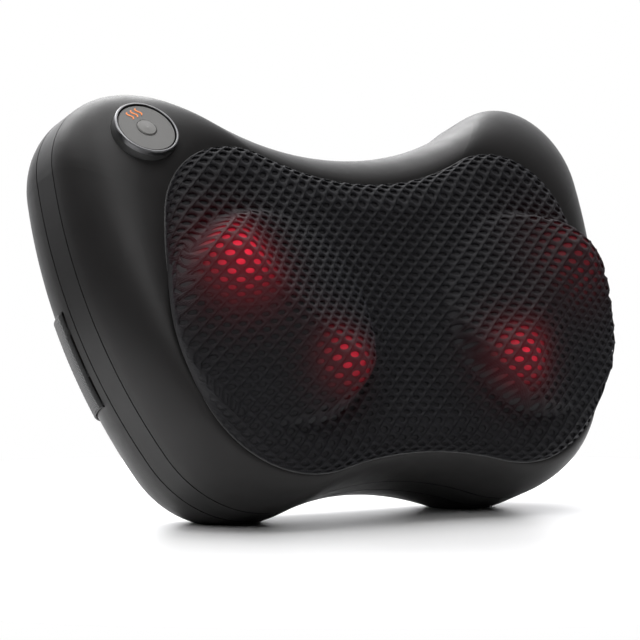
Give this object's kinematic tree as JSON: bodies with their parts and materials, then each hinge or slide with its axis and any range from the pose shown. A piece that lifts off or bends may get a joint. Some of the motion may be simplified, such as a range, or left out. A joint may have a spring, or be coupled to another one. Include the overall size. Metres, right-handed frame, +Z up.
{
  "type": "neck massager",
  "caption": "Butterfly-shaped massage pillow with lit rotating kneading nodes under an open mesh front, a round control pad and a rear strap.",
  "frame": {"origin": "centre of the bounding box, on the surface that the two lower lobes stand on", "axes": "+X across the pillow to the right as seen from the front, +Y to the back, +Z up; the mesh front faces -Y and leans back 19.3 degrees"},
  "size_m": [0.335, 0.1675, 0.2202],
  "materials": {
    "shell_grey": "soft-touch satin",
    "band_grey": "satin",
    "mesh_fabric": "open air mesh",
    "liner_fabric": "thin elastic lining",
    "webbing": "woven elastic",
    "black_plastic": "moulded",
    "bezel_chrome": "satin dark chrome",
    "plate_grey": "satin",
    "button_grey": "satin",
    "mark_orange": "printed",
    "node_red": "translucent",
    "lamp_red": "lit",
    "gear_nylon": "moulded",
    "steel": "plain",
    "bronze": "sintered",
    "board_green": "solder mask",
    "component_black": "moulded"
  },
  "bodies": {
    "root": {"board_components": "component_black", "board_screws": "steel", "contact_brushes": "bronze", "control_bezel": "bezel_chrome", "control_board": "board_green", "control_housing": "black_plastic", "control_plate": "plate_grey", "dc_inlet": "component_black", "elastic_strap": "webbing", "front_output_bushes": "bronze", "front_shell": "shell_grey", "gearbox_cover": "black_plastic", "gearbox_cover_screws": "steel", "gearbox_housing": "black_plastic", "gearbox_mount_screws": "steel", "heat_mark": "mark_orange", "inlet_nut": "black_plastic", "inner_liner": "liner_fabric", "main_board": "board_green", "mesh_cover": "mesh_fabric", "mesh_frame": "black_plastic", "mid_band": "band_grey", "motor_bushes": "bronze", "motor_can": "steel", "motor_end_cap": "black_plastic", "motor_magnets": "steel", "rear_output_bushes": "bronze", "rear_shell": "shell_grey", "shaft_end_bushes": "bronze", "shell_screws": "steel", "strap_bars": "black_plastic", "tact_switch": "component_black", "thermal_fuse": "component_black", "thrust_washers": "steel"},
    "left_output": {"left_contact_ring": "bronze", "left_hub_screw": "steel", "left_inner_node": "node_red", "left_node_carrier": "black_plastic", "left_node_lamps": "lamp_red", "left_node_screws": "steel", "left_outer_node": "node_red", "left_output_shaft": "steel", "left_worm_wheel": "gear_nylon"},
    "right_output": {"right_contact_ring": "bronze", "right_hub_screw": "steel", "right_inner_node": "node_red", "right_node_carrier": "black_plastic", "right_node_lamps": "lamp_red", "right_node_screws": "steel", "right_outer_node": "node_red", "right_output_shaft": "steel", "right_worm_wheel": "gear_nylon"},
    "rotor": {"motor_shaft": "steel", "motor_armature": "steel", "left_worm": "steel", "right_worm": "steel"},
    "button": {"power_button": "button_grey"}
  },
  "joints": [
    {"name": "left_output_spin", "type": "hinge", "parent": "root", "child": "left_output", "pos_m": [-0.0833, -0.03881, 0.10453], "axis": [0, -0.9438, 0.3305], "continuous": true},
    {"name": "right_output_spin", "type": "hinge", "parent": "root", "child": "right_output", "pos_m": [0.0833, -0.03881, 0.10453], "axis": [0, -0.9438, 0.3305], "continuous": true},
    {"name": "rotor_spin", "type": "hinge", "parent": "root", "child": "rotor", "pos_m": [0, -0.03617, 0.0697], "axis": [1, 0, 0], "continuous": true},
    {"name": "power_button_press", "type": "slide", "parent": "root", "child": "button", "axis": [0.0647, 0.7491, -0.6593], "range_m": [0, 0.0008], "stiffness_N_per_m": 600}
  ],
  "couplings": [
    {"joint": "right_output_spin", "follows": "left_output_spin", "ratio": -1},
    {"joint": "rotor_spin", "follows": "left_output_spin", "ratio": 50}
  ]
}
